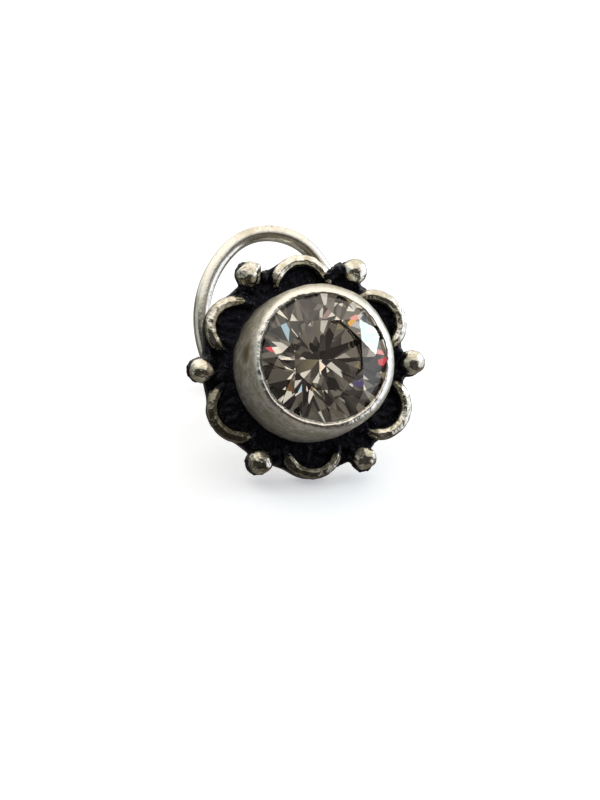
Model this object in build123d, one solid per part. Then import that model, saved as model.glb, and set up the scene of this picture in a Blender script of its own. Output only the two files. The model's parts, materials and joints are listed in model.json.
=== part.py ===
"""Nose stud: a flower head in silver with one round brilliant, on a wire post bent into a loop.

The head is built face up about its own axis: Z runs out through the stone, the back of
the plate is Z = 0, and -Y is the side of the plate that ends up lowest. The post goes
straight back from the plate and turns into an oval loop, parallel to the plate. At the
end the whole stud is leaned forward until it lies as it does by itself on a table: on
the rim of the plate in front, and on the bottom run of the loop behind.
"""
from build123d import *
from math import asin, atan2, cos, degrees, hypot, radians, sin, tan
import os

# ---- driving dimensions, millimetres and degrees ----
plate_radius = 4.4             # of the disc, between its lobes
plate_thickness = 0.55
plate_edge = 0.10              # rounding of the plate's lower edge
notch_radius = 0.15            # rounding of the notches in its outline
lobe_radius = 1.32             # of the lobe under each petal
pad_ring = 4.45                # of the small round pads under the granules
pad_radius = 0.46

stone_diameter = 5.5
mains = 8                      # main facets round the crown, and round the pavilion
first_main = 22.5              # direction of one main facet about the head's axis
table_ratio = 0.57             # table across its corners, over the stone's diameter
crown_angle = 33.5
pavilion_angle = 41.0
girdle_thickness = 0.14
star_length = 0.50             # how far the star facets reach from table to girdle
lower_half_length = 0.78       # how far the lower halves reach from girdle to culet
blank_spare = 1.0              # of the blank below the culet, all cut away
stone_gap = 0.02               # air left between the stone and the metal

bezel_wall = 0.33
lip_overlap = 0.06             # how far the burnished lip covers the girdle
lip_height = 0.25              # lip's top above the girdle's upper edge
bezel_height = 3.20            # lip's top above the plate
shoulder_drop = 0.70           # where the wall starts to bend in, below the lip's top
bend_inward = 0.25             # middle of the bend: share of its whole run inwards,
bend_upward = 0.70             # and of its whole rise
crest_width = 0.10             # flat top of the lip
seat_width = 0.35              # ledge inside the bezel that carries the stone

repeats = 6                    # petals, and granules between them
first_granule = 0.0            # direction of one granule about the head's axis
granule_ring = 4.58
granule_radius = 0.52
granule_sink = 0.14            # how deep a granule's underside is sunk in the plate
petal_ring = 3.40              # centre of each petal's half circle
petal_radius = 1.14            # of the wire's centre line
petal_wire = 0.48              # thickness of the petal wire
petal_sink = 0.06

wire_diameter = 0.70
post_length = 5.0              # plate's back to the centre line of the loop
bend_radius = 0.8
first_run = 1.9                # straight bottom run, from the post's axis
LOOP_ARCS = (                  # tangent arcs of the loop, anticlockwise from the run
    # radius, turn
    (1.20, 73.1),
    (5.33, 53.9),
    (2.57, 95.6),
    (4.48, 73.7),
)                              # one more arc brings the tip back level with the run
joint_radius = 0.62            # cone of solder where the post meets the plate
joint_height = 0.30

# ---- worked out from them ----
stone_radius = stone_diameter / 2
bezel_inner = stone_radius + stone_gap
bezel_outer = bezel_inner + bezel_wall
lip_radius = stone_radius - lip_overlap
lip_top = plate_thickness + bezel_height
girdle_top = lip_top - lip_height
girdle_bottom = girdle_top - girdle_thickness
table_radius = stone_radius * table_ratio
wire_radius = wire_diameter / 2
step = 360 / repeats
turn = 360 / mains


def polar(radius, angle, height=0.0):
    """A point at a radius and direction about the head's axis."""
    return Vector(radius * cos(radians(angle)), radius * sin(radians(angle)), height)


# ---- the stone ----
def keep_inside(solid, a, b, c):
    """Cut a solid with the plane through three points, and keep the side of its middle."""
    normal = (b - a).cross(c - a).normalized()
    middle = Vector(0, 0, (girdle_top + girdle_bottom) / 2)
    if (middle - a).dot(normal) > 0:
        normal = normal * -1
    return split(solid, bisect_by=Plane(a, z_dir=normal), keep=Keep.BOTTOM)


def facets(solid, edge_height, slope, meet_radius):
    """Cut a ring of main facets and, between them, pairs of halves that run to the girdle.

    slope is the rise of the main facets for each millimetre inwards: up on the crown,
    down on the pavilion. The halves meet the mains at meet_radius, midway between them.
    """
    meet_height = edge_height + slope * (stone_radius - meet_radius * cos(radians(turn / 2)))
    for k in range(mains):
        main = polar(stone_radius, k * turn, edge_height)
        across = polar(1.0, k * turn + 90)
        inward = polar(-1.0, k * turn, slope)
        solid = keep_inside(solid, main, main + across, main + inward)
        between = polar(stone_radius, (k + 0.5) * turn, edge_height)
        meet = polar(meet_radius, (k + 0.5) * turn, meet_height)
        for side in (k, k + 1):
            solid = keep_inside(solid, polar(stone_radius, side * turn, edge_height), between, meet)
    return solid, meet_height


def brilliant():
    """Round brilliant: table, eight stars, eight kites, sixteen upper halves, a round
    girdle, eight pavilion mains and sixteen lower halves that run to a point."""
    crown_slope = tan(radians(crown_angle))
    pavilion_slope = -tan(radians(pavilion_angle))
    table_height = girdle_top + crown_slope * (stone_radius - table_radius)
    depth = -pavilion_slope * stone_radius
    bottom = girdle_bottom - depth - blank_spare
    stone = Pos(0, 0, bottom) * Cylinder(
        stone_radius, table_height - bottom, align=(Align.CENTER, Align.CENTER, Align.MIN)
    )
    table_edge = table_radius * cos(radians(turn / 2))
    star_radius = table_edge + star_length * (stone_radius - table_edge)
    stone, star_height = facets(stone, girdle_top, crown_slope, star_radius)
    for k in range(mains):
        corners = [polar(table_radius, (k + side) * turn, table_height) for side in (0, 1)]
        star = polar(star_radius, (k + 0.5) * turn, star_height)
        stone = keep_inside(stone, *corners, star)
    lower_meet = stone_radius * (1 - lower_half_length)
    stone, _ = facets(stone, girdle_bottom, pavilion_slope, lower_meet)
    return Rot(Z=first_main) * stone


# ---- the head ----
def backplate():
    """Disc cut to the flower's outline: a lobe under each petal, a pad under each granule."""
    outline = Circle(plate_radius)
    for k in range(repeats):
        lobe = polar(petal_ring, first_granule + (k + 0.5) * step)
        pad = polar(pad_ring, first_granule + k * step)
        outline += Pos(lobe) * Circle(lobe_radius)
        outline += Pos(pad) * Circle(pad_radius)
    outline = fillet(outline.vertices(), notch_radius)
    plate = extrude(outline, plate_thickness)
    return chamfer(plate.faces().sort_by(Axis.Z)[0].edges(), plate_edge)


def bezel():
    """Straight collar on the plate, with a ledge inside that slopes like the underside of
    the stone. The top of the wall is bent in over the girdle and ends in a narrow lip."""
    slope = tan(radians(pavilion_angle))
    under_girdle = girdle_bottom - stone_gap
    ledge_inner = bezel_inner - seat_width
    lip_under = girdle_top + tan(radians(crown_angle)) * lip_overlap + stone_gap
    base = plate_thickness / 2
    shoulder = (bezel_outer, lip_top - shoulder_drop)
    crest_outer = (lip_radius + 2 * crest_width, lip_top)
    bend = (
        bezel_outer - bend_inward * (bezel_outer - crest_outer[0]),
        shoulder[1] + bend_upward * shoulder_drop,
    )
    crest_inner = (lip_radius + crest_width, lip_top)
    lip_edge = (lip_radius, lip_top - crest_width)
    profile = [
        Line((bezel_outer, base), shoulder),
        ThreePointArc(shoulder, bend, crest_outer),
        Polyline(
            crest_outer,
            crest_inner,
            lip_edge,
            (lip_radius, lip_under),
            (bezel_inner, girdle_top + stone_gap),
            (bezel_inner, under_girdle),
            (ledge_inner, under_girdle - slope * seat_width),
            (ledge_inner, base),
            (bezel_outer, base),
        ),
    ]
    return revolve(Plane.XZ * make_face(profile), Axis.Z)


def petal(angle):
    """Half loop of round wire with rounded ends, open towards the bezel."""
    height = plate_thickness + petal_wire / 2 - petal_sink
    centre = polar(petal_ring, angle, height)
    ends = [centre + polar(petal_radius, angle + side * 90) for side in (-1, 1)]
    crest = centre + polar(petal_radius, angle)
    path = ThreePointArc(ends[0], crest, ends[1])
    section = Plane(origin=path @ 0, z_dir=path % 0) * Circle(petal_wire / 2)
    loop = sweep(section, path=path)
    for end in ends:
        loop += Pos(end) * Sphere(petal_wire / 2)
    return loop


def granule(angle):
    """Small ball over its pad at the plate's edge, sunk a little into the solder."""
    height = plate_thickness + granule_radius - granule_sink
    return Pos(polar(granule_ring, angle, height)) * Sphere(granule_radius)


# ---- the nose wire ----
def loop_path():
    """Centre line: straight post, bend, bottom run, then the arcs of the oval loop."""
    bend_top = Vector(0, 0, bend_radius - post_length)
    post = Line(Vector(0, 0, plate_thickness / 2), bend_top)
    bend_end = Vector(bend_radius, 0, -post_length)
    knee = bend_top + Vector(bend_radius, 0, 0) + Vector(-1, 0, -1).normalized() * bend_radius
    bend = ThreePointArc(bend_top, knee, bend_end)
    spot = Vector(first_run, 0, -post_length)
    pieces = [post, bend, Line(bend_end, spot)]
    heading = 0.0
    for radius, arc in (*LOOP_ARCS, (None, 360 - sum(arc for _, arc in LOOP_ARCS))):
        if radius is None:
            radius = spot.Y / (1 - cos(radians(heading)))
        centre = spot + polar(radius, heading + 90)
        middle = centre + polar(radius, heading - 90 + arc / 2)
        end = centre + polar(radius, heading - 90 + arc)
        pieces.append(ThreePointArc(spot, middle, end))
        spot = end
        heading += arc
    return pieces, spot


def nose_wire():
    """Round wire along the path, with a rounded tip and a cone of solder at the plate."""
    pieces, tip = loop_path()
    wire = Pos(tip) * Sphere(wire_radius)
    for piece in pieces:
        section = Plane(origin=piece @ 0, z_dir=piece % 0) * Circle(wire_radius)
        wire += sweep(section, path=piece)
    cone = Pos(0, 0, -joint_height) * Cone(
        wire_radius, joint_radius, joint_height + plate_edge,
        align=(Align.CENTER, Align.CENTER, Align.MIN),
    )
    return wire + cone


def setting():
    """All the silver, soldered into one solid."""
    metal = backplate() + bezel() + nose_wire()
    for k in range(repeats):
        metal += granule(first_granule + k * step)
        metal += petal(first_granule + (k + 0.5) * step)
    return metal


# ---- how the stud lies ----
def resting_lean():
    """Lean of the head's axis from upright, with the lowest lobe and the loop on one level.

    Leaned, the lobe's chamfered edge lies rim * sin(lean) below the middle of the plate's
    back, less plate_edge * cos(lean), and the bottom run of the loop lies
    post_length * cos(lean) + wire_radius below it. The lean makes the two equal.
    """
    rim = petal_ring + lobe_radius
    reach = post_length + plate_edge
    return degrees(atan2(reach, rim) + asin(wire_radius / hypot(reach, rim)))


def main():
    lean = resting_lean()
    drop = post_length * cos(radians(lean)) + wire_radius
    leaned = {
        "setting": Pos(0, 0, drop) * Rot(X=lean) * setting(),
        "stone": Pos(0, 0, drop) * Rot(X=lean) * brilliant(),
    }
    box = Compound(children=[shape.solid() for shape in leaned.values()]).bounding_box()
    to_middle = Pos(-box.center().X, -box.center().Y, -box.min.Z)
    os.makedirs("parts", exist_ok=True)
    for name, shape in leaned.items():
        solid = (to_middle * shape).solid()
        export_step(solid, f"parts/{name}.step")
        print(name, "volume", round(solid.volume, 3), "mm3, valid", solid.is_valid)
    print("lean", round(lean, 2), "size", box.size, "moved", to_middle.position)


main()
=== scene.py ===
import json
from math import atan2, cos, degrees, hypot, pi, radians, sin, sqrt

import bmesh
import bpy
from bpy.props import FloatProperty, FloatVectorProperty, IntProperty, PointerProperty
from bpy.types import Node, NodeSocket, Operator, Panel, PropertyGroup, Scene
from mathutils import Matrix, Vector, noise


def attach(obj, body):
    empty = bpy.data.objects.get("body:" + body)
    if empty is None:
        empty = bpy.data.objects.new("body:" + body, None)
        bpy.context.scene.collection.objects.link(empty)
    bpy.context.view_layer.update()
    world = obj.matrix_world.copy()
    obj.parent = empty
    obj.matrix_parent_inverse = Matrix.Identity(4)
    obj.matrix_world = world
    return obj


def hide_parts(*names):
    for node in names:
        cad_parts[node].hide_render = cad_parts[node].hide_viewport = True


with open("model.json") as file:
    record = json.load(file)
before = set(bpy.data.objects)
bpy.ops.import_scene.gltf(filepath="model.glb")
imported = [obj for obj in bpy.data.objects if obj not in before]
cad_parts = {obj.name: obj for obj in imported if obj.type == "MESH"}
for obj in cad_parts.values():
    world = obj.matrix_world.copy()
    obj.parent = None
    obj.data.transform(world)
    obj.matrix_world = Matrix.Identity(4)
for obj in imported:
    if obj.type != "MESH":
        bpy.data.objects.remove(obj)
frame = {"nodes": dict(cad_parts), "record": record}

bl_info = {
    "name": "Flower nose stud",
    "version": (1, 0, 0),
    "blender": (4, 5, 0),
    "location": "3D View > Sidebar > Nose stud",
    "description": "Dresses the packed frame of a flower nose stud in blackened silver",
    "category": "Add Mesh",
}

MM = 0.001
BODY = "root"
WANDER_SEED = 11                           # any number but 0, which would mean the clock

# settings and inputs that many nodes share
SOFT = {"interpolation_type": "SMOOTHSTEP"}
BLEND = {"data_type": "RGBA"}
TIMES = {"operation": "MULTIPLY"}
TIMES_PLUS = {"operation": "MULTIPLY_ADD"}
DOT = {"operation": "DOT_PRODUCT"}
FRACTAL = {"Detail": 3.0, "Roughness": 0.6}

# forms that the sizes below leave out, in millimetres
LIP_ABOVE_GIRDLE = 0.25
PAD_RADIUS = 0.46                          # of the plate's pad under a granule
PLATE_EDGE = 0.10                          # rounding of the plate's rim
PETAL_HEIGHT = 0.50
PETAL_ROUNDING = 0.13
VOXEL = 0.065                              # grain in which plate and solder are run together

# ---- where the head stands: Z out through the stone, back of the plate at Z = 0 ----
POST = frame["record"]["mounts"][0]
POST_AXIS = Vector(POST["axis"]).normalized()
GRIP_MIDDLE = 2.1 * MM                     # the post mount's place, behind the plate
HEAD_ORIGIN = Vector(POST["pos_m"]) - POST_AXIS * GRIP_MIDDLE
LEAN = atan2(POST_AXIS.y, -POST_AXIS.z)    # of the head's axis, from upright
HEAD = Matrix.Translation(HEAD_ORIGIN) @ Matrix.Rotation(LEAN, 4, "X")


# ---- small tools ----
def linear(hex_colour):
    """An sRGB hex colour as linear red, green, blue and a full alpha."""
    parts = [int(hex_colour[i:i + 2], 16) / 255 for i in (1, 3, 5)]
    return [c / 12.92 if c <= 0.04045 else ((c + 0.055) / 1.055) ** 2.4 for c in parts] + [1.0]


def add(tree, kind, inputs=(), **settings):
    """Add a node with its settings, and set or link its inputs by name or number.

    An input takes a value, a socket, or a node, which gives its first output in use. By
    number, a map range takes its value at 0, the range it comes from at 1 and 2 and the
    range it becomes at 3 and 4. A mix takes its share at 0 and its two colours at 6 and 7.
    """
    node = tree.nodes.new(kind)
    for name, value in settings.items():
        setattr(node, name, value)
    plug(tree, node, inputs)
    return node


def plug(tree, node, inputs):
    """Set or link a node's inputs."""
    for socket, value in dict(inputs).items():
        if isinstance(value, Node):
            value = next(output for output in value.outputs if output.enabled)
        if isinstance(value, NodeSocket):
            tree.links.new(value, node.inputs[socket])
        else:
            node.inputs[socket].default_value = value


def smooth(value, low, high):
    """0 below low, 1 above high, and an even turn between them."""
    t = min(1.0, max(0.0, (value - low) / (high - low)))
    return t * t * (3 - 2 * t)


def around(radius, angle, height=0.0):
    """A point at a radius and direction, in degrees, about the head's axis."""
    return Vector((radius * cos(radians(angle)), radius * sin(radians(angle)), height))


def petal_angle(sizes, k):
    return (k + 0.5) * 360 / sizes.repeats


def granule_angle(sizes, k):
    return k * 360 / sizes.repeats


def wander(mesh, *waves):
    """Move the points a little, as hand work does, by smooth fields one after another, each
    given as its amount and grain in millimetres and its own place in the noise.

    noise_vector starts from the clock unless it is given a seed, so it gets a fixed one.
    """
    noise.seed_set(WANDER_SEED)
    for amount, grain, start in waves:
        shift = Vector((start, 2 * start, 3 * start))
        for vertex in mesh.vertices:
            vertex.co += noise.noise_vector(vertex.co / (grain * MM) + shift) * (amount * MM)


def paint(mesh, name, rule):
    """Store one number a point, from its place in millimetres and its normal, in the
    head's frame."""
    mesh.update()
    values = [rule(v.co / MM, v.normal) for v in mesh.vertices]
    layer = mesh.attributes.new(name, "FLOAT", "POINT")
    layer.data.foreach_set("value", values)


def new_object(name, data):
    """An object that holds the data, in the scene."""
    made = bpy.data.objects.new(name, data)
    bpy.context.scene.collection.objects.link(made)
    return made


def place(name, mesh, material=None):
    """Finish a piece: stand its mesh where the head stands, and tie it to the frame."""
    if material is not None:
        mesh.materials.append(material)
    mesh.polygons.foreach_set("use_smooth", [True] * len(mesh.polygons))
    mesh.transform(HEAD)
    mesh.update()
    mesh.name = name
    piece = new_object(name, mesh)
    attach(piece, BODY)
    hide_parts("setting")


def converted(carrier_mesh, modifiers):
    """The mesh that a carrier becomes under modifiers, given as (type, settings, inputs)."""
    carrier = new_object("carrier", carrier_mesh)
    for kind, settings, inputs in modifiers:
        modifier = carrier.modifiers.new(kind.lower(), kind)
        for name, value in settings.items():
            setattr(modifier, name, value)
        if kind == "NODES":
            for item in modifier.node_group.interface.items_tree:
                if item.item_type == "SOCKET" and item.in_out == "INPUT" and item.name in inputs:
                    modifier[item.identifier] = inputs[item.name]
    evaluated = carrier.evaluated_get(bpy.context.evaluated_depsgraph_get())
    mesh = bpy.data.meshes.new_from_object(evaluated)
    bpy.data.objects.remove(carrier)
    return mesh


def shape_tree(name, inputs):
    """A new Geometry Nodes tree with named inputs, and the sockets that bring them in."""
    tree = bpy.data.node_groups.new(name, "GeometryNodeTree")
    tree.interface.new_socket("Geometry", in_out="OUTPUT", socket_type="NodeSocketGeometry")
    for label, kind in (("Geometry", "Geometry"), *inputs):
        tree.interface.new_socket(label, in_out="INPUT", socket_type="NodeSocket" + kind)
    return tree, tree.nodes.new("NodeGroupInput").outputs


def close_tree(tree, geometry, material):
    """End a tree in Realize Instances and Set Material."""
    real = add(tree, "GeometryNodeRealizeInstances", {"Geometry": geometry})
    painted = add(tree, "GeometryNodeSetMaterial", {"Geometry": real, "Material": material})
    add(tree, "NodeGroupOutput", {0: painted})


# ---- what a user may change ----
def a_number(label, note, value):
    """A plain number that a user may change."""
    return FloatProperty(name=label, description=note, default=value)


def a_length(label, note, millimetres):
    """A length that a user may change."""
    return FloatProperty(name=label, description=note, default=millimetres * MM, unit="LENGTH")


def an_angle(label, note, turned):
    """An angle that a user may change, given in degrees."""
    return FloatProperty(name=label, description=note, default=radians(turned), subtype="ANGLE")


def a_colour(label, note, hex_colour):
    """A colour that a user may change."""
    return FloatVectorProperty(
        name=label, description=note, subtype="COLOR", size=4, default=linear(hex_colour)
    )


class StudSizes(PropertyGroup):
    repeats: IntProperty(
        name="Petals", description="Number of petals, and of granules", default=6, min=3
    )
    plate_radius: a_length("Plate radius", "Of the disc between its lobes", 4.4)
    plate_thickness: a_length("Plate thickness", "Of the backplate", 0.55)
    lobe_radius: a_length("Lobe radius", "Of the plate's lobe under a petal", 1.32)
    petal_ring: a_length("Petal ring", "Head's axis to the centre of a petal's half circle", 3.40)
    petal_radius: a_length("Petal radius", "Of the middle line of a petal", 1.14)
    petal_width: a_length("Petal width", "Of the petal wire", 0.48)
    granule_ring: a_length("Granule ring", "Head's axis to the middle of a granule", 4.58)
    granule_radius: a_length("Granule radius", "Of a granule", 0.52)
    granule_sink: a_length("Granule sink", "Depth of a granule in its solder", 0.14)
    bezel_inner: a_length("Bezel inner radius", "Of the wall, at the stone's girdle", 2.77)
    bezel_wall: a_length("Bezel wall", "Thickness of the bezel strip", 0.33)
    bezel_height: a_length("Bezel height", "Top of the lip above the plate", 3.20)
    lip_radius: a_length("Lip radius", "Opening of the lip over the stone", 2.69)
    wire_diameter: a_length("Wire diameter", "Of the nose wire", 0.70)
    post_length: a_length("Post length", "Plate's back to the middle of the loop", 5.0)
    bend_radius: a_length("Bend radius", "From the post into the loop", 0.8)
    first_run: a_length("First run", "Post's axis to the start of the loop's curve", 1.9)


class StudFinish(PropertyGroup):
    polished: a_colour("Polished silver", "Where the buff has reached", "#fbf8f2")
    film: a_colour("Tarnish film", "Thin yellow-grey film on handled silver", "#d6d1c0")
    blackening: a_colour("Blackening", "Silver sulphide left in the recesses", "#0c0c10")
    stain: a_colour("Stain", "Brown stain on the bezel's wall", "#6f5a41")
    sheen: a_colour("Sheen", "Blue-grey gleam that the blackening throws back", "#82829c")
    dull: a_colour("Dull silver", "Olive-grey skin where the buff only brushed the metal", "#928d7d")
    stone: a_colour("Stone", "Body colour of the stone", "#f4eee6")
    mirror: FloatVectorProperty(
        name="Stone mirror", description="Share of its full mirror that the stone keeps",
        subtype="COLOR", size=4, default=(0.5, 0.5, 0.5, 1.0),
    )


class StudStage(PropertyGroup):
    azimuth: an_angle("Camera azimuth", "Of the camera round the stud, from the front", -17.94)
    elevation: an_angle("Camera elevation", "Above the table", 32.10)
    roll: an_angle("Camera roll", "About its own line of sight", 8.17)
    distance: a_length("Camera distance", "To the back of the plate", 150)
    off_right: a_length("Aim right", "How far right of the view's middle the plate stands", 0.078)
    off_up: a_length("Aim up", "How far above the view's middle the plate stands", 1.331)
    lens: a_number("Lens", "Focal length for a 36 mm frame", 159.66)
    soft_light: a_number("Soft light", "Brightness of the room", 1.16)
    window_light: a_number("Window", "Brightness of the window at the right", 12.0)
    table_glow: a_number("Table glow", "Light that the pale table gives by itself", 0.44)


# ---- materials ----
def head_coordinates(tree):
    """Object coordinates turned into the head's own frame, in metres."""
    place_of = add(tree, "ShaderNodeTexCoord")
    return add(
        tree, "ShaderNodeMapping",
        {"Vector": place_of.outputs["Object"], "Location": HEAD_ORIGIN, "Rotation": (LEAN, 0, 0)},
        vector_type="TEXTURE",
    )


def new_material(name):
    """A material with a Principled shader: its tree and that shader."""
    material = bpy.data.materials.new(name)
    material.use_nodes = True
    tree = material.node_tree
    return material, tree, tree.nodes["Principled BSDF"]


def dipped_silver(finish):
    """Sterling silver, soldered, dipped in liver of sulphur and buffed by hand: the dip
    leaves a rough black skin with a faint blue sheen, and the buff brings back warm bright metal
    on whatever stands up, with a ragged edge between the two. The attribute called wear
    says how far the buff reached; above one it is the plain satin of the back."""
    material, tree, shader = new_material("dipped_silver")
    where = head_coordinates(tree)
    wear = add(tree, "ShaderNodeAttribute", attribute_name="wear").outputs["Fac"]
    blotch, scuff = (
        add(tree, "ShaderNodeTexNoise", {"Vector": where, "Scale": 1 / (grain * MM), **FRACTAL})
        for grain in (0.45, 0.20)
    )
    grit = add(
        tree, "ShaderNodeTexNoise",
        {"Vector": where, "Scale": 1 / (0.085 * MM), "Detail": 4.0, "Roughness": 0.65},
    )
    ragged = wear
    for part, weight in ((scuff, 0.50), (grit, 0.42)):
        ragged = add(tree, "ShaderNodeMath", {0: part, 1: weight, 2: ragged}, **TIMES_PLUS)
    bright = add(tree, "ShaderNodeMapRange", {0: ragged, 1: 0.895, 2: 0.985}, **SOFT)
    buffed = add(tree, "ShaderNodeMapRange", {0: ragged, 1: 1.105, 2: 1.32}, **SOFT)
    speck = add(tree, "ShaderNodeMapRange", {0: grit, 1: 0.635, 2: 0.70, 4: 0.55}, **SOFT)
    bared = add(tree, "ShaderNodeMath", {0: bright, 1: speck}, operation="MAXIMUM")
    gleam = add(tree, "ShaderNodeMix", {0: bared, 6: finish.sheen, 7: (1, 1, 1, 1)}, **BLEND)
    film_share = add(tree, "ShaderNodeMapRange", {0: blotch, 1: 0.40, 2: 0.60}, **SOFT)
    plain = add(tree, "ShaderNodeMapRange", {0: wear, 1: 1.08, 2: 1.22})
    film_share = add(tree, "ShaderNodeMath", {0: film_share, 1: plain}, operation="MAXIMUM")
    metal = add(tree, "ShaderNodeMix", {0: film_share, 6: finish.polished, 7: finish.film}, **BLEND)
    metal = add(tree, "ShaderNodeMix", {0: buffed, 6: finish.dull, 7: metal}, **BLEND)
    body = add(tree, "ShaderNodeMix", {0: bared, 6: finish.blackening, 7: metal}, **BLEND)
    rough = add(tree, "ShaderNodeMapRange", {0: buffed, 3: 0.16, 4: 0.06})
    for part, weight in ((scuff, 0.12), (plain, 0.22)):
        rough = add(tree, "ShaderNodeMath", {0: part, 1: weight, 2: rough}, **TIMES_PLUS)
    steepness = add(tree, "ShaderNodeMapRange", {0: plain, 3: 0.9, 4: 0.12})
    fine = add(tree, "ShaderNodeMath", {0: scuff, 1: 0.9, 2: grit}, **TIMES_PLUS)
    depth = add(tree, "ShaderNodeMapRange", {0: bared, 3: 0.40, 4: 0.20})
    relief = add(tree, "ShaderNodeMath", {0: fine, 1: depth}, **TIMES)
    relief = add(tree, "ShaderNodeMath", {0: blotch, 1: 2.4, 2: relief}, **TIMES_PLUS)
    bump = add(
        tree, "ShaderNodeBump", {"Height": relief, "Distance": 0.035 * MM, "Strength": steepness}
    )
    plug(tree, shader, {
        "Base Color": body, "Metallic": bared, "Roughness": rough, "Normal": bump,
        "Specular Tint": gleam,
    })
    return material


def burnished_silver(finish, sizes):
    """Fine silver strip, filed round and rubbed down over the stone: a satin wall with
    filing marks along it, upright strokes of the burnisher, a grey-yellow film, one brown
    stain, and a bright lip. The blackening stays in the corner above the plate. The
    attribute called wear says how far the lip is burnished."""
    material, tree, shader = new_material("burnished_silver")
    where = head_coordinates(tree)
    wear = add(tree, "ShaderNodeAttribute", attribute_name="wear").outputs["Fac"]
    height = add(tree, "ShaderNodeSeparateXYZ", {0: where}).outputs[2]
    level, upright = (
        add(tree, "ShaderNodeVectorMath", {0: where, 1: stretch}, **TIMES)
        for stretch in ((1, 1, 9), (2.2, 2.2, 0.35))
    )
    blotch, mottle, grit, filing, strokes = (
        add(tree, "ShaderNodeTexNoise", {"Vector": place_of, "Scale": 1 / (grain * MM), **FRACTAL})
        for place_of, grain in (
            (where, 0.8), (where, 0.24), (where, 0.07), (level, 0.25), (upright, 0.30),
        )
    )
    film_share = add(tree, "ShaderNodeMapRange", {0: blotch, 1: 0.38, 2: 0.62}, **SOFT)
    body = add(tree, "ShaderNodeMix", {0: film_share, 6: finish.polished, 7: finish.film}, **BLEND)
    dulled = add(
        tree, "ShaderNodeMapRange", {0: mottle, 1: 0.36, 2: 0.66, 3: 0.52, 4: 0.88}, **SOFT
    )
    spot = around(sizes.bezel_inner + sizes.bezel_wall, 172, 2.75 * MM)
    away = add(tree, "ShaderNodeVectorMath", {0: where, 1: spot}, operation="DISTANCE")
    ragged = add(tree, "ShaderNodeMath", {0: blotch, 1: -0.9 * MM, 2: away}, **TIMES_PLUS)
    stained = add(
        tree, "ShaderNodeMapRange", {0: ragged, 1: -0.35 * MM, 2: 0.30 * MM, 3: 0.9, 4: 0.0}, **SOFT
    )
    low = add(tree, "ShaderNodeMath", {0: grit, 1: -0.35 * MM, 2: height}, **TIMES_PLUS)
    sooted = add(
        tree, "ShaderNodeMapRange",
        {0: low, 1: sizes.plate_thickness - 0.20 * MM, 2: sizes.plate_thickness, 3: 1.0, 4: 0.0},
        **SOFT,
    )
    for share, tone in (
        (dulled, finish.dull), (stained, finish.stain), (wear, finish.polished),
        (sooted, finish.blackening),
    ):
        body = add(tree, "ShaderNodeMix", {0: share, 6: body, 7: tone}, **BLEND)
    rough = add(tree, "ShaderNodeMapRange", {0: wear, 3: 0.40, 4: 0.10})
    rough = add(tree, "ShaderNodeMath", {0: strokes, 1: 0.18, 2: rough}, **TIMES_PLUS)
    marks = strokes
    for part, weight in ((filing, 0.4), (mottle, 1.6), (grit, 0.3)):
        marks = add(tree, "ShaderNodeMath", {0: part, 1: weight, 2: marks}, **TIMES_PLUS)
    bump = add(tree, "ShaderNodeBump", {"Height": marks, "Distance": 0.03 * MM, "Strength": 0.65})
    clean = add(tree, "ShaderNodeMapRange", {0: wear, 3: 0.72, 4: 1.0})
    plug(tree, shader, {
        "Base Color": body, "Metallic": clean, "Roughness": rough, "Normal": bump,
    })
    return material


def drawn_silver(finish):
    """Drawn sterling wire, rubbed bright: even long reflections, broken by fine draw lines
    along it and a few nicks, with a thin warm film. The attribute called straight holds the
    place on the wire as if it lay straight."""
    material, tree, shader = new_material("drawn_silver")
    straight = add(tree, "ShaderNodeAttribute", attribute_name="straight").outputs["Vector"]
    drawn = add(tree, "ShaderNodeVectorMath", {0: straight, 1: (0.05, 1, 1)}, **TIMES)
    lines, nicks, blotch = (
        add(tree, "ShaderNodeTexNoise", {"Vector": place_of, "Scale": 1 / (grain * MM), **FRACTAL})
        for place_of, grain in ((drawn, 0.05), (straight, 0.16), (straight, 0.9))
    )
    film_share = add(tree, "ShaderNodeMapRange", {0: blotch, 1: 0.44, 2: 0.70, 4: 0.8}, **SOFT)
    body = add(tree, "ShaderNodeMix", {0: film_share, 6: finish.polished, 7: finish.film}, **BLEND)
    dirt = add(tree, "ShaderNodeMapRange", {0: nicks, 1: 0.62, 2: 0.70, 4: 0.5}, **SOFT)
    body = add(tree, "ShaderNodeMix", {0: dirt, 6: body, 7: finish.blackening}, **BLEND)
    rough = add(tree, "ShaderNodeMapRange", {0: blotch, 1: 0.3, 2: 0.7, 3: 0.13, 4: 0.25})
    marks = add(tree, "ShaderNodeMath", {0: nicks, 1: 2.2, 2: lines}, **TIMES_PLUS)
    bump = add(tree, "ShaderNodeBump", {"Height": marks, "Distance": 0.007 * MM, "Strength": 0.5})
    plug(tree, shader, {
        "Base Color": body, "Metallic": 1.0, "Roughness": rough, "Normal": bump,
    })
    return material


def cubic_zirconia(finish):
    """Cubic zirconia, cut and polished: clear, hard facets and a mirror on each, dulled a
    little by handling."""
    material, tree, shader = new_material("cubic_zirconia")
    plug(tree, shader, {
        "Base Color": finish.stone, "Transmission Weight": 1.0, "Roughness": 0.0,
        "IOR": 2.16, "Specular Tint": finish.mirror,
    })
    return material


def shared(maker, *choices):
    """The material a function makes, made only the first time it is asked for."""
    return bpy.data.materials.get(maker.__name__) or maker(*choices)


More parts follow.
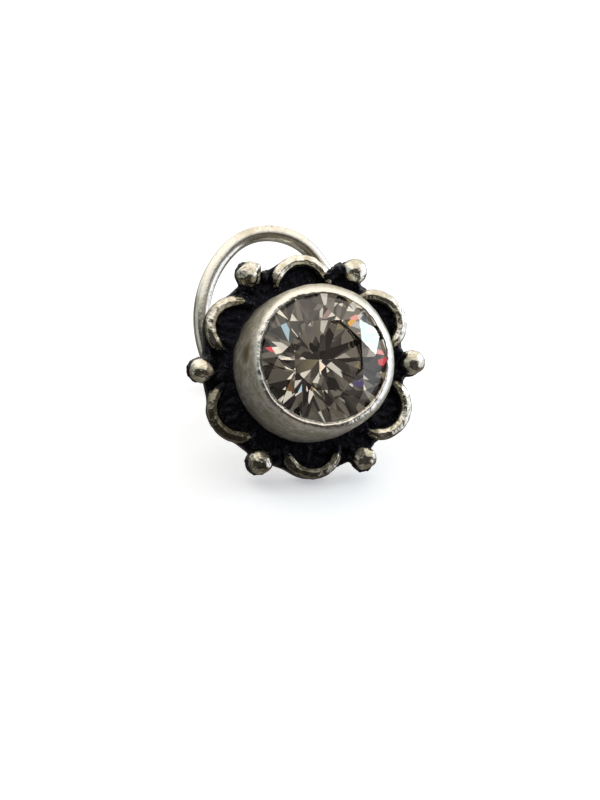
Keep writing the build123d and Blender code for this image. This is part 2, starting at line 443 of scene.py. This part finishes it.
# ---- backplate ----
def outline_radius(sizes, angle):
    """Radius of the flower outline: the disc, lobes and pads, run together like solder."""
    reach = [sizes.plate_radius / MM]
    rings = (
        (sizes.petal_ring, sizes.lobe_radius, petal_angle),
        (sizes.granule_ring, PAD_RADIUS * MM, granule_angle),
    )
    for ring, radius, angle_of in rings:
        for k in range(sizes.repeats):
            off = radians(angle - angle_of(sizes, k))
            inside = radius ** 2 - (ring * sin(off)) ** 2
            if cos(off) > 0 and inside > 0:
                reach.append((ring * cos(off) + sqrt(inside)) / MM)
    power = 42                             # the higher, the sharper the corners between them
    return sum(r ** power for r in reach) ** (1 / power) * MM


def loft(build, rings):
    """Join closed rings of points into a skin, and close both ends."""
    rows = [[build.verts.new(p) for p in ring] for ring in rings]
    count = len(rows[0])
    for low, high in zip(rows, rows[1:]):
        for i in range(count):
            j = (i + 1) % count
            build.faces.new((low[i], low[j], high[j], high[i]))
    build.faces.new(rows[0][::-1])
    build.faces.new(rows[-1])


def plate_shell(build, sizes):
    """The flower-shaped plate, its rim rounded a little."""
    top = sizes.plate_thickness
    edge = PLATE_EDGE * MM
    steps = ((-edge, 0), (-0.3 * edge, 0.3 * edge), (0, edge), (0, top - 0.8 * edge), (-edge, top))
    loft(build, [
        [around(outline_radius(sizes, a) + inset, a, height) for a in range(360)]
        for inset, height in steps
    ])


def cone(build, middle, low_radius, high_radius, low, high, count=32):
    """A closed cone stump, its axis along the head's own."""
    foot = Vector((middle.x, middle.y, 0))
    loft(build, [
        [foot + around(radius, i * 360 / count, height) for i in range(count)]
        for radius, height in ((low_radius, low), (high_radius, high))
    ])


def lump(build, middle, size, turn, seed):
    """A rough bead of solder."""
    made = bmesh.ops.create_icosphere(build, subdivisions=3, radius=1.0)
    spin = Matrix.Rotation(radians(turn), 4, "Z")
    for vertex in made["verts"]:
        out = vertex.co.normalized()
        bulge = 1 + 0.35 * noise.noise(out * 1.7 + Vector((seed, 0, seed)))
        vertex.co = middle + spin @ Vector([c * s * bulge for c, s in zip(out, size)])


# rough beads of solder, in the head's frame
SOLDER_BEADS = (
    # direction, ring, height, along, across, up (mm), turn
    (70, 4.24, 0.82, 0.26, 0.50, 0.44, 60),
    (66, 4.42, 0.95, 0.22, 0.20, 0.30, 20),
    (74, 3.96, 0.80, 0.24, 0.28, 0.34, 20),
    (113, 4.18, 0.72, 0.20, 0.30, 0.24, 110),
    (124, 4.05, 0.66, 0.26, 0.22, 0.22, 40),
    (131, 3.72, 0.66, 0.34, 0.24, 0.18, 0),
    (176, 4.10, 0.62, 0.26, 0.30, 0.20, 0),
    (186, 3.82, 0.62, 0.30, 0.22, 0.16, 30),
    (229, 3.93, 0.66, 0.34, 0.16, 0.18, 50),
    (250, 3.95, 0.64, 0.30, 0.20, 0.18, 10),
    (296, 4.10, 0.64, 0.26, 0.24, 0.20, 70),
    (8, 4.08, 0.64, 0.26, 0.24, 0.20, 20),
    (352, 4.10, 0.64, 0.24, 0.24, 0.20, 80),
    (50, 3.98, 0.66, 0.30, 0.22, 0.22, 140),
)


def backplate_mesh(sizes):
    """Plate, the solder drawn up round each granule, loose beads, and the post's fillet."""
    build = bmesh.new()
    plate_shell(build, sizes)
    top = sizes.plate_thickness
    axis = Vector((0, 0, 0))
    outer = sizes.bezel_inner + sizes.bezel_wall
    r = sizes.granule_radius
    for k in range(sizes.repeats):
        middle = around(sizes.granule_ring, granule_angle(sizes, k))
        cone(build, middle, 1.12 * r, 0.86 * r, top - 0.3 * r, top + 0.55 * r)
    # the solder at the post, and at the bezel's foot
    cone(build, axis, 0.36 * MM, 0.62 * MM, -0.30 * MM, 0.10 * MM)
    cone(build, axis, outer + 0.10 * MM, outer - 0.02 * MM, top - 0.1 * MM, top + 0.12 * MM, 96)
    for seed, (angle, ring, height, along, across, up, turn) in enumerate(SOLDER_BEADS):
        middle = around(ring * MM, angle, height * MM)
        lump(build, middle, [s * MM for s in (along, across, up)], angle + turn, seed * 3.7)
    rough = bpy.data.meshes.new("backplate_shells")
    build.to_mesh(rough)
    build.free()
    mesh = converted(rough, [
        ("REMESH", {"mode": "VOXEL", "voxel_size": VOXEL * MM, "use_smooth_shade": True}, {}),
        ("SMOOTH", {"factor": 0.5, "iterations": 3}, {}),
    ])
    normals = [v.normal.copy() for v in mesh.vertices]
    for vertex, normal in zip(mesh.vertices, normals):
        crust = smooth(vertex.co.z, 0.35 * top, top) * smooth(
            hypot(vertex.co.x, vertex.co.y), 3.0 * MM, 3.6 * MM
        )
        ripple = noise.turbulence(vertex.co / (0.36 * MM), 3, True)
        vertex.co += normal * (ripple - 0.5) * 0.11 * MM * crust
    return mesh


def backplate_wear(point, normal):
    """Plain satin at the back, and a touch of the buff on the rim and the highest beads."""
    ring = hypot(point.x, point.y)
    outward = (normal.x * point.x + normal.y * point.y) / max(ring, 0.01)
    back = smooth(-normal.z, 0.3, 0.9) * (1 - smooth(point.z, 0.05, 0.20))
    rim = 0.22 * smooth(outward, 0.5, 0.9) * smooth(ring, 4.0, 4.6)
    raised = 0.25 * smooth(point.z, 0.75, 1.05)
    return max(1.25 * back, rim, raised) + 0.05


class STUD_OT_backplate(Operator):
    """Make the flower-shaped backplate with its solder"""

    bl_idname = "stud.backplate"
    bl_label = "Backplate"

    def execute(self, context):
        scene = context.scene
        mesh = backplate_mesh(scene.stud_sizes)
        paint(mesh, "wear", backplate_wear)
        place("backplate", mesh, shared(dipped_silver, scene.stud_finish))
        return {"FINISHED"}


# ---- bezel ----
def bezel_profile(sizes, press):
    """Section of the strip, from the plate up the outside, over the lip and down inside.

    press runs from 0, where the burnisher has left a wide slope down to the stone, to 1,
    where it has pushed the lip lower and further in. All in millimetres.
    """
    inner = sizes.bezel_inner / MM
    outer = inner + sizes.bezel_wall / MM
    lip = sizes.lip_radius / MM - 0.04 * press
    base = sizes.plate_thickness / MM - 0.15
    full = (sizes.plate_thickness + sizes.bezel_height) / MM
    top = full - 0.085 * press
    slope = 0.17 - 0.15 * press
    ridge = lip + slope
    reach = outer - 0.03 - ridge
    fall = 0.36 + 0.08 * press
    drop = 0.72                            # of the rounded bend
    bore = inner - 0.35                    # of the strip below the stone's seat
    shoulder = top - drop - fall * reach
    steps = 12
    wall = [
        (outer + 0.05 - 0.08 * i / steps, base + (shoulder - base) * i / steps)
        for i in range(steps + 1)
    ]
    bend = []
    for turned in (12, 24, 36, 48, 60, 72, 82):
        across = reach * cos(radians(turned)) ** 0.85
        bend.append((
            ridge + across,
            top - fall * across - drop * (1 - sin(radians(turned)) ** 0.9),
        ))
    crest = [(ridge + 0.012, top - 0.004)] + [
        (lip + slope * (1 - t), top - (0.12 - 0.09 * press) * t)
        for t in (0.2, 0.45, 0.7, 0.9, 1.0)
    ]
    girdle = full - LIP_ABOVE_GIRDLE
    inside = [(lip + 0.004, girdle + 0.05), (inner - 0.005, girdle + 0.03),
              (inner, girdle - 0.13), (inner - 0.30, girdle - 0.41),
              (bore, girdle - 0.95), (bore, base)]
    return wall + bend + crest + inside


def bezel_mesh(sizes, segments=288):
    """The section turned round the axis, with the small unevenness of hand work: flats left
    by the pusher, and a nicked lip. The seat is cut true, and the lip stops short of the
    stone."""
    top = (sizes.plate_thickness + sizes.bezel_height) / MM
    girdle = top - LIP_ABOVE_GIRDLE
    inner = sizes.bezel_inner / MM
    middle = (sizes.bezel_inner + sizes.lip_radius) / 2 / MM
    build = bmesh.new()
    rows = []
    for s in range(segments):
        angle = s * 360 / segments
        ring = Vector((cos(radians(angle)), sin(radians(angle)), 0))
        press = 0.5 + 0.5 * cos(radians(angle - 35))
        # the wall stands out lower right and at the top, the lip is drawn over to the right
        bulge = 0.025 + 0.05 * cos(radians(angle + 65)) + 0.035 * press
        bulge += 0.10 * max(0, cos(radians(angle - 85))) ** 2
        drift = 0.035 * max(0, cos(radians(angle)))
        rough_side = 0.5 + 0.5 * cos(radians(angle - 150))
        nick = noise.noise(ring * 9 + Vector((0, 3, 0)))
        chatter = noise.noise(ring * 26 + Vector((5, 0, 0)))
        row = []
        for radius, height in bezel_profile(sizes, press):
            up = Vector((0, 0, height))
            dent = noise.noise(ring * 2.2 + up * 0.45)
            hollow = noise.noise(ring * 6.0 + up * 1.4 + Vector((7, 0, 0)))
            rough = smooth(max(height - girdle, radius - inner - 0.05), 0, 0.05)
            radius += bulge * smooth(radius, middle, middle + 0.3) + drift * rough
            radius += rough * (0.026 * dent + (0.016 + 0.022 * rough_side) * hollow)
            share = smooth(height, top - 0.40, top - 0.05)
            height += share * (0.020 * nick + 0.010 * chatter)
            radius += share * (0.020 * nick + 0.012 * chatter)
            if height > girdle and radius < inner:            # keep the lip off the crown
                height = max(height, girdle + 0.012 + 0.9 * (inner - radius))
            row.append(build.verts.new(Vector((ring.x * radius, ring.y * radius, height)) * MM))
        rows.append(row)
    count = len(rows[0])
    for s in range(segments):
        near, far = rows[s], rows[(s + 1) % segments]
        for i in range(count):
            j = (i + 1) % count
            build.faces.new((near[i], far[i], far[j], near[j]))
    bmesh.ops.recalc_face_normals(build, faces=build.faces[:])
    mesh = bpy.data.meshes.new("bezel")
    build.to_mesh(mesh)
    build.free()
    return mesh


def bezel_wear(sizes):
    """Only the lip is rubbed bright."""
    top = (sizes.plate_thickness + sizes.bezel_height) / MM

    def rule(point, normal):
        return smooth(point.z, top - 0.34, top - 0.12) * smooth(normal.z, 0.1, 0.7)
    return rule


class STUD_OT_bezel(Operator):
    """Make the tall bezel that holds the stone"""

    bl_idname = "stud.bezel"
    bl_label = "Bezel"

    def execute(self, context):
        scene = context.scene
        mesh = bezel_mesh(scene.stud_sizes)
        paint(mesh, "wear", bezel_wear(scene.stud_sizes))
        place("bezel", mesh, shared(burnished_silver, scene.stud_finish, scene.stud_sizes))
        return {"FINISHED"}


# ---- petals ----
# each petal as it was bent, set and buffed; the buff is lower on the lower left and bottom petals,
# partly as painted shade
PETALS = (
    # share of radius, extra ring (mm), share of height, how far it is buffed (lower on the lower
    # left and bottom petals: partly wear, partly painted shade)
    (1.05, 0.10, 1.00, 1.00),
    (1.00, -0.06, 1.00, 1.05),
    (1.00, -0.04, 0.95, 0.86),
    (1.03, 0.06, 0.92, 0.66),
    (1.00, -0.02, 0.90, 0.68),
    (1.05, 0.10, 1.00, 0.88),
)


def ring_carrier(places):
    """Loose points with the turn and scale that each repeat takes."""
    points, turns, scales = zip(*places)
    mesh = bpy.data.meshes.new("places")
    mesh.from_pydata(points, [], [])
    for label, rows in (("turn", turns), ("scale", scales)):
        layer = mesh.attributes.new(label, "FLOAT_VECTOR", "POINT")
        layer.data.foreach_set("vector", [c for row in rows for c in row])
    return mesh


def instance_at(tree, points, piece, material):
    """Set a piece on the carrier's points, turned and scaled as they say, and close."""
    turn, scale = (
        add(tree, "GeometryNodeInputNamedAttribute", {"Name": name}, data_type="FLOAT_VECTOR")
        for name in ("turn", "scale")
    )
    rotation = add(tree, "FunctionNodeEulerToRotation", {0: turn})
    spot = add(
        tree, "GeometryNodeInstanceOnPoints",
        {"Points": points, "Instance": piece, "Rotation": rotation, "Scale": scale},
    )
    close_tree(tree, spot, material)


def petal_tree(material):
    """One petal: a half ring of flat-topped wire, thinner at its ends, at each point."""
    tree, size = shape_tree("petals", (
        ("Radius", "Float"), ("Width", "Float"), ("Height", "Float"), ("Rounding", "Float"),
        ("Slope", "Float"), ("End share", "Float"),
    ))
    arc = add(
        tree, "GeometryNodeCurveArc",
        {"Resolution": 72, "Radius": size["Radius"], "Start Angle": -pi / 2, "Sweep Angle": pi},
    )
    upright = add(tree, "GeometryNodeSetCurveNormal", {"Curve": arc}, mode="Z_UP")
    along = add(tree, "GeometryNodeSplineParameter").outputs["Factor"]
    past_middle = add(tree, "ShaderNodeMath", {0: along, 1: 0.5}, operation="SUBTRACT")
    from_middle = add(tree, "ShaderNodeMath", {0: past_middle}, operation="ABSOLUTE")
    thin = add(
        tree, "ShaderNodeMapRange", {0: from_middle, 1: 0.34, 2: 0.5, 3: 1.0, 4: size["End share"]},
        **SOFT,
    )
    square = add(
        tree, "GeometryNodeCurvePrimitiveQuadrilateral",
        {"Width": size["Width"], "Height": size["Height"]},
    )
    rounded = add(
        tree, "GeometryNodeFilletCurve", {"Curve": square, "Radius": size["Rounding"]}, mode="BEZIER"
    )
    section = add(tree, "GeometryNodeResampleCurve", {"Curve": rounded, "Count": 36})
    slope = add(tree, "ShaderNodeCombineXYZ", {2: size["Slope"]})
    section = add(tree, "GeometryNodeTransform", {"Geometry": section, "Rotation": slope})
    sweep = add(tree, "GeometryNodeCurveToMesh", {
        "Curve": upright, "Profile Curve": section, "Scale": thin, "Fill Caps": True,
    })
    instance_at(tree, size["Geometry"], sweep, material)
    return tree


def petal_wear(sizes):
    """Most on the tops and the outer sides, less on the inner sides and towards the ends, and scaled
    for each petal by its row, which darkens the lower left and bottom petals partly as painted
    shade.
    """
    step = 360 / sizes.repeats

    def rule(point, normal):
        k = int(degrees(atan2(point.y, point.x)) % 360 / step)
        axis = (k + 0.5) * step
        out = point - around(sizes.petal_ring / MM, axis)
        along = abs((degrees(atan2(out.y, out.x)) - axis + 180) % 360 - 180)
        out = out.to_2d().normalized()
        outward = normal.x * out.x + normal.y * out.y
        high = smooth(point.z, 0.62, 0.86)
        facing = max(smooth(normal.z, 0.45, 0.9), 0.85 * smooth(outward, 0.25, 0.7))
        inner = 0.45 * smooth(-outward, 0.4, 0.9)
        ends = 1 - 0.55 * smooth(along, 52, 88)
        # the row's last column scales the bright share; its low values on the lower left and bottom
        # petals are partly painted shade
        return high * max(facing, inner) * ends * PETALS[k % len(PETALS)][3]
    return rule


class STUD_OT_petals(Operator):
    """Make the petals round the bezel"""

    bl_idname = "stud.petals"
    bl_label = "Petals"

    def execute(self, context):
        scene = context.scene
        sizes = scene.stud_sizes
        height = PETAL_HEIGHT * MM
        middle = sizes.plate_thickness + 0.40 * height      # the foot is sunk a little
        places = []
        for k in range(sizes.repeats):
            wide, out, high, _ = PETALS[k % len(PETALS)]
            angle = petal_angle(sizes, k)
            spot = around(sizes.petal_ring + out * MM, angle, middle)
            places.append((spot, (0, 0, radians(angle)), (wide, wide, high)))
        material = shared(dipped_silver, scene.stud_finish)
        mesh = converted(ring_carrier(places), [("NODES", {"node_group": petal_tree(material)}, {
            "Radius": sizes.petal_radius, "Width": sizes.petal_width, "Height": height,
            "Rounding": PETAL_ROUNDING * MM, "Slope": radians(24), "End share": 0.62,
        })])
        wander(mesh, (0.035, 0.9, 3.0), (0.020, 0.22, 5.0), (0.005, 0.11, 9.0))
        paint(mesh, "wear", petal_wear(sizes))
        place("petals", mesh)
        return {"FINISHED"}


# ---- granules ----
# each granule's shift from its even place, its size and its finish
GRANULES = (
    # outwards, round (mm), share of size, share of height, how far it is buffed, lumps (mm)
    (0.03, 0.02, 1.00, 0.96, 0.95, 0.05),
    (0.00, 0.00, 1.04, 1.00, 1.00, 0.03),
    (-0.04, 0.05, 1.00, 0.96, 0.80, 0.16),
    (0.00, 0.10, 1.00, 0.98, 0.90, 0.05),
    (0.02, 0.02, 1.02, 1.00, 0.74, 0.04),
    (-0.02, -0.03, 0.96, 0.96, 0.82, 0.06),
)


def granule_tree(material):
    """One ball at each point."""
    tree, size = shape_tree("granules", (("Radius", "Float"), ("Steps", "Int")))
    ball = add(
        tree, "GeometryNodeMeshIcoSphere", {"Radius": size["Radius"], "Subdivisions": size["Steps"]}
    )
    instance_at(tree, size["Geometry"], ball, material)
    return tree


def granule_at(sizes, point):
    """The row of the granule that a point belongs to."""
    k = round(degrees(atan2(point.y, point.x)) * sizes.repeats / 360) % sizes.repeats
    return GRANULES[k % len(GRANULES)]


def granule_lumps(mesh, sizes):
    """Uneven balls: each one swells and dips as its row says."""
    normals = [vertex.normal.copy() for vertex in mesh.vertices]
    for vertex, normal in zip(mesh.vertices, normals):
        swell = noise.noise(vertex.co / (0.42 * MM) + Vector((0, 5, 0)))
        vertex.co += normal * swell * granule_at(sizes, vertex.co)[5] * MM


def granule_wear(sizes):
    """More towards the top of each ball."""
    low = sizes.plate_thickness / MM

    def rule(point, normal):
        return smooth(point.z, low + 0.10, low + 0.45) * granule_at(sizes, point)[4]
    return rule


class STUD_OT_granules(Operator):
    """Make the granules between the petals"""

    bl_idname = "stud.granules"
    bl_label = "Granules"

    def execute(self, context):
        scene = context.scene
        sizes = scene.stud_sizes
        places = []
        for k in range(sizes.repeats):
            out, sideways, share, high = GRANULES[k % len(GRANULES)][:4]
            angle = granule_angle(sizes, k)
            height = sizes.plate_thickness + sizes.granule_radius - sizes.granule_sink
            spot = around(sizes.granule_ring + out * MM, angle, height)
            spot += around(sideways * MM, angle + 90)
            places.append((spot, (0, 0, radians(angle + 37 * k)), (share, share, high * share)))
        material = shared(dipped_silver, scene.stud_finish)
        mesh = converted(ring_carrier(places), [("NODES", {"node_group": granule_tree(material)}, {
            "Radius": sizes.granule_radius, "Steps": 5,
        })])
        granule_lumps(mesh, sizes)
        wander(mesh, (0.012, 0.16, 13.0))
        paint(mesh, "wear", granule_wear(sizes))
        place("granules", mesh)
        return {"FINISHED"}


# ---- nose wire ----
LOOP_ARCS = (                  # of the loop, anticlockwise from the end of its straight run
    # radius (mm), turn (degrees)
    (1.20, 73.1),
    (5.33, 53.9),
    (2.57, 95.6),
    (4.48, 73.7),
)                              # one more arc brings the tip back level with the run


def wire_path(sizes, spacing=0.06):
    """Middle line of the post, the bend, the run and the loop, in millimetres."""
    length, bend, run = (s / MM for s in (sizes.post_length, sizes.bend_radius, sizes.first_run))
    start = Vector((0, 0, sizes.plate_thickness / MM / 2))
    down = start.z + length - bend
    points = [start - Vector((0, 0, down * i / 60)) for i in range(60)]
    for i in range(24):
        a = radians(90 * i / 24)
        points.append(Vector((bend - bend * cos(a), 0, bend - length - bend * sin(a))))
    points += [Vector((bend + (run - bend) * i / 16, 0, -length)) for i in range(16)]
    spot = Vector((run, 0, -length))
    heading = 0.0
    for radius, turn in (*LOOP_ARCS, (None, 360 - sum(turn for _, turn in LOOP_ARCS))):
        if radius is None:
            radius = spot.y / (1 - cos(radians(heading)))
        centre = spot + around(radius, heading + 90)
        steps = max(6, int(radians(turn) * radius / spacing))
        points += [centre + around(radius, heading - 90 + turn * i / steps) for i in range(steps)]
        spot = centre + around(radius, heading - 90 + turn)
        heading += turn
    points.append(spot)
    return points


def wire_tree(material):
    """Sweep a round section along the carrier's line, and keep where each point lay on it."""
    tree, size = shape_tree("nose_wire", (("Radius", "Float"), ("Sides", "Int")))
    line = add(tree, "GeometryNodeMeshToCurve", {"Mesh": size["Geometry"]})
    taper = add(tree, "GeometryNodeInputNamedAttribute", {"Name": "taper"}, data_type="FLOAT")
    length = add(tree, "GeometryNodeSplineParameter").outputs["Length"]
    kept = add(tree, "GeometryNodeCaptureAttribute", {"Geometry": line})
    kept.capture_items.new("FLOAT", "length")
    tree.links.new(length, kept.inputs["length"])
    circle = add(
        tree, "GeometryNodeCurvePrimitiveCircle",
        {"Resolution": size["Sides"], "Radius": size["Radius"]},
    )
    side = add(tree, "GeometryNodeCaptureAttribute", {"Geometry": circle})
    side.capture_items.new("VECTOR", "side")
    tree.links.new(add(tree, "GeometryNodeInputPosition").outputs[0], side.inputs["side"])
    sweep = add(tree, "GeometryNodeCurveToMesh", {
        "Curve": kept, "Profile Curve": side, "Scale": taper, "Fill Caps": True,
    })
    across = add(tree, "ShaderNodeSeparateXYZ", {0: side.outputs["side"]}).outputs
    straight = add(
        tree, "ShaderNodeCombineXYZ", {0: kept.outputs["length"], 1: across[0], 2: across[1]}
    )
    stored = add(
        tree, "GeometryNodeStoreNamedAttribute",
        {"Geometry": sweep, "Name": "straight", "Value": straight},
        data_type="FLOAT_VECTOR", domain="POINT",
    )
    close_tree(tree, stored, material)
    return tree


class STUD_OT_nose_wire(Operator):
    """Make the post and its loop"""

    bl_idname = "stud.nose_wire"
    bl_label = "Nose wire"

    def execute(self, context):
        scene = context.scene
        sizes = scene.stud_sizes
        radius = sizes.wire_diameter / 2
        points = wire_path(sizes)
        ahead = (points[-1] - points[-2]).normalized()
        tapers = [1.0] * len(points)
        tip = points[-1].copy()
        for i in range(1, 11):                              # the tip is rounded
            share = sin(radians(9 * i * 0.985))
            points.append(tip + ahead * share * radius / MM)
            tapers.append(sqrt(max(0.0, 1 - share * share)))
        line = bpy.data.meshes.new("nose_wire_line")
        line.from_pydata([p * MM for p in points], [(i, i + 1) for i in range(len(points) - 1)], [])
        layer = line.attributes.new("taper", "FLOAT", "POINT")
        layer.data.foreach_set("value", tapers)
        material = shared(drawn_silver, scene.stud_finish)
        mesh = converted(line, [("NODES", {"node_group": wire_tree(material)}, {
            "Radius": radius, "Sides": 40,
        })])
        wander(mesh, (0.02, 1.6, 21.0))
        place("nose_wire", mesh)
        return {"FINISHED"}


# ---- stone ----
class STUD_OT_stone(Operator):
    """Give the cut stone its finish"""

    bl_idname = "stud.stone"
    bl_label = "Stone"

    def execute(self, context):
        material = shared(cubic_zirconia, context.scene.stud_finish)
        stone = frame["nodes"]["stone"]
        if not stone.material_slots:
            stone.data.materials.append(material)
        for slot in stone.material_slots:
            slot.material = material
        return {"FINISHED"}


# ---- stage ----
# the stone's fire: small coloured glints, seen only through the stone
GLINTS = (
    # direction, half width (degrees), colour
    ((-0.12, -0.14, 0.97), 2.4, "#fdc05a"),
    ((-0.05, -0.36, 0.93), 2.4, "#f0a29c"),
    ((-0.16, -0.98, -0.05), 1.4, "#d8505a"),
    ((-0.01, -0.55, 0.83), 2.2, "#7388f2"),
    ((-0.51, -0.34, 0.77), 1.8, "#b8dcf0"),
    ((-0.32, -0.94, 0.14), 1.4, "#a8c6d6"),
    ((-0.18, -0.97, 0.18), 1.6, "#463c70"),
    ((-0.53, -0.14, 0.86), 2.6, "#a07a54"),
    ((0.27, -0.67, 0.70), 1.6, "#8c836a"),
    ((-0.46, -0.53, 0.72), 3.4, "#9a8480"),
    ((-0.38, -0.72, 0.58), 2.2, "#9c9468"),
)


def patch(tree, towards, direction, start, full, strength=1.0, **settings):
    """How far a direction lies in a round patch of the room: 0 up to one cosine of the
    angle between them, and the patch's strength from the other on."""
    near = add(tree, "ShaderNodeVectorMath", {0: towards, 1: Vector(direction).normalized()}, **DOT)
    return add(tree, "ShaderNodeMapRange", {0: near, 1: start, 2: full, 4: strength}, **settings)


def studio_world(stage):
    """A dim room with one wide soft ceiling light that leans to the back, a white wall at
    the right from floor to ceiling, a grey curtain at the left, grey paper below, and a
    darker front where the viewer stands."""
    world = bpy.data.worlds.new("studio")
    world.use_nodes = True
    tree = world.node_tree
    towards = add(tree, "ShaderNodeTexCoord").outputs["Generated"]
    parts = add(tree, "ShaderNodeSeparateXYZ", {0: towards}).outputs
    clutter = add(tree, "ShaderNodeTexNoise", {"Vector": towards, "Scale": 4.5, **FRACTAL})
    hues = add(
        tree, "ShaderNodeTexNoise",
        {"Vector": towards, "Scale": 5.0, "Detail": 2.0, "Roughness": 0.6},
    )
    front = patch(tree, towards, (-0.45, -0.88, -0.10), 0.25, 0.75, 0.8, **SOFT)
    paper = patch(tree, towards, (-0.10, -0.50, -0.86), 0.76, 0.93, **SOFT)
    curtain = patch(tree, towards, (-0.98, 0.10, 0.16), 0.86, 0.96, **SOFT)
    ceiling = add(tree, "ShaderNodeVectorMath", {0: towards, 1: (0.03, 0.545, 0.838)}, **DOT)
    cluttered, hued, lit, height, sideways, above = (
        add(tree, "ShaderNodeMapRange", {0: value, 1: start, 2: full}, **SOFT)
        for value, start, full in (
            (clutter, 0.42, 0.60), (hues, 0.38, 0.62), (ceiling, 0.26, 0.36),
            (ceiling, 0.40, 0.74), (parts[0], 0.66, 0.76), (parts[2], -0.45, -0.30),
        )
    )
    room, overhead, things = (
        add(tree, "ShaderNodeMix", {0: share, 6: linear(dark), 7: linear(pale)}, **BLEND)
        for share, dark, pale in (
            (cluttered, "#423d39", "#8a857a"), (height, "#d2d1ca", "#fff6e8"),
            (hued, "#242223", "#726e66"),
        )
    )
    wall = add(tree, "ShaderNodeMath", {0: sideways, 1: above}, **TIMES)
    # through the stone the room is seen in small pieces, pale light between darker things
    through = add(tree, "ShaderNodeLightPath").outputs["Is Transmission Ray"]
    moved = add(tree, "ShaderNodeVectorMath", {0: towards, 1: (0, 5, 0)}, operation="ADD")
    hidden = add(
        tree, "ShaderNodeTexNoise",
        {"Vector": moved, "Scale": 12.0, "Detail": 1.0, "Roughness": 0.5},
    )
    hidden = add(tree, "ShaderNodeMapRange", {0: hidden, 1: 0.51, 2: 0.53})
    layers = [
        (front, linear("#1e1c1d")), (paper, linear("#7c7871")), (lit, overhead),
        (wall, linear("#f4f8ff")), (curtain, linear("#a2a8a2")),
    ]
    inner_layers = [(hidden, things)]
    for direction, half_width, colour in GLINTS:
        edges = (cos(radians(reach * half_width)) for reach in (1.15, 0.85))
        inner_layers.append((patch(tree, towards, direction, *edges), linear(colour)))
    for share, colour in inner_layers:
        share = add(tree, "ShaderNodeMath", {0: share, 1: through}, **TIMES)
        layers.append((share, colour))
    for share, colour in layers:
        room = add(tree, "ShaderNodeMix", {0: share, 6: room, 7: colour}, **BLEND)
    plug(tree, tree.nodes["Background"], {0: room, 1: stage.soft_light})
    return world


def window_light(stage):
    """A near window at the right, as a rectangular light that faces the stud."""
    size, distance = (0.075, 0.065), 0.30                   # metres
    data = bpy.data.lights.new("window", "AREA")
    data.shape = "RECTANGLE"
    data.size, data.size_y = size
    data.color = linear("#dcfaf6")[:3]
    data.energy = stage.window_light * pi * size[0] * size[1]
    lamp = new_object("window", data)
    out = Vector((0.90, 0.176, 0.39)).normalized()
    lamp.location = HEAD_ORIGIN + out * distance
    lamp.rotation_euler = out.to_track_quat("Z", "Y").to_euler()


def table_top(stage, half=1.5):
    """Pale paper under the stud. It reaches as far as half says, in metres, each way."""
    mesh = bpy.data.meshes.new("table_top")
    ends = ((-half, -half, 0), (half, -half, 0), (half, half, 0), (-half, half, 0))
    mesh.from_pydata(ends, [], [(0, 1, 2, 3)])
    floor = new_object("table_top", mesh)
    floor.visible_glossy = False
    floor.visible_transmission = False
    material, tree, shader = new_material("pale_paper")
    plug(tree, shader, {
        "Base Color": linear("#e9edf6"), "Roughness": 0.9,
        "Emission Color": linear("#fbfcff"), "Emission Strength": stage.table_glow,
    })
    mesh.materials.append(material)


def stage_camera(stage):
    """The camera, aimed a little off the plate and rolled."""
    e, a, r = stage.elevation, stage.azimuth, stage.roll
    back = Vector((sin(a) * cos(e), -cos(a) * cos(e), sin(e)))
    level = Vector((cos(a), sin(a), 0))
    right = level * cos(r) + back.cross(level) * sin(r)
    up = back.cross(right)
    data = bpy.data.cameras.new("camera")
    data.lens = stage.lens
    data.clip_start, data.clip_end = 0.005, 10
    camera = new_object("camera", data)
    camera.matrix_world = Matrix((right, up, back)).transposed().to_4x4()
    camera.location = (
        HEAD_ORIGIN - right * stage.off_right - up * stage.off_up + back * stage.distance
    )
    return camera


class STUD_OT_stage(Operator):
    """Set the pale table, the soft light and the camera"""

    bl_idname = "stud.stage"
    bl_label = "Stage"

    def execute(self, context):
        scene = context.scene
        stage = scene.stud_stage
        table_top(stage)
        scene.world = studio_world(stage)
        window_light(stage)
        scene.camera = stage_camera(stage)
        scene.view_settings.view_transform = "Standard"
        return {"FINISHED"}


# ---- panel, registration, run ----
STEPS = (
    STUD_OT_stage, STUD_OT_backplate, STUD_OT_bezel, STUD_OT_petals, STUD_OT_granules,
    STUD_OT_nose_wire, STUD_OT_stone,
)


class STUD_PT_panel(Panel):
    """The steps that build the nose stud"""

    bl_idname = "STUD_PT_panel"
    bl_label = "Nose stud"
    bl_space_type = "VIEW_3D"
    bl_region_type = "UI"
    bl_category = "Nose stud"

    def draw(self, context):
        for step in STEPS:
            self.layout.operator(step.bl_idname)


GROUPS = (("stud_sizes", StudSizes), ("stud_finish", StudFinish), ("stud_stage", StudStage))


def register():
    for name, group in GROUPS:
        bpy.utils.register_class(group)
        setattr(Scene, name, PointerProperty(type=group))
    for step in (*STEPS, STUD_PT_panel):
        bpy.utils.register_class(step)


def unregister():
    for step in (STUD_PT_panel, *reversed(STEPS)):
        bpy.utils.unregister_class(step)
    for name, group in reversed(GROUPS):
        delattr(Scene, name)
        bpy.utils.unregister_class(group)


def main():
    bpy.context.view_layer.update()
    register()
    for step in STEPS:
        group, name = step.bl_idname.split(".")
        getattr(getattr(bpy.ops, group), name)()


if __name__ == "__main__":
    main()
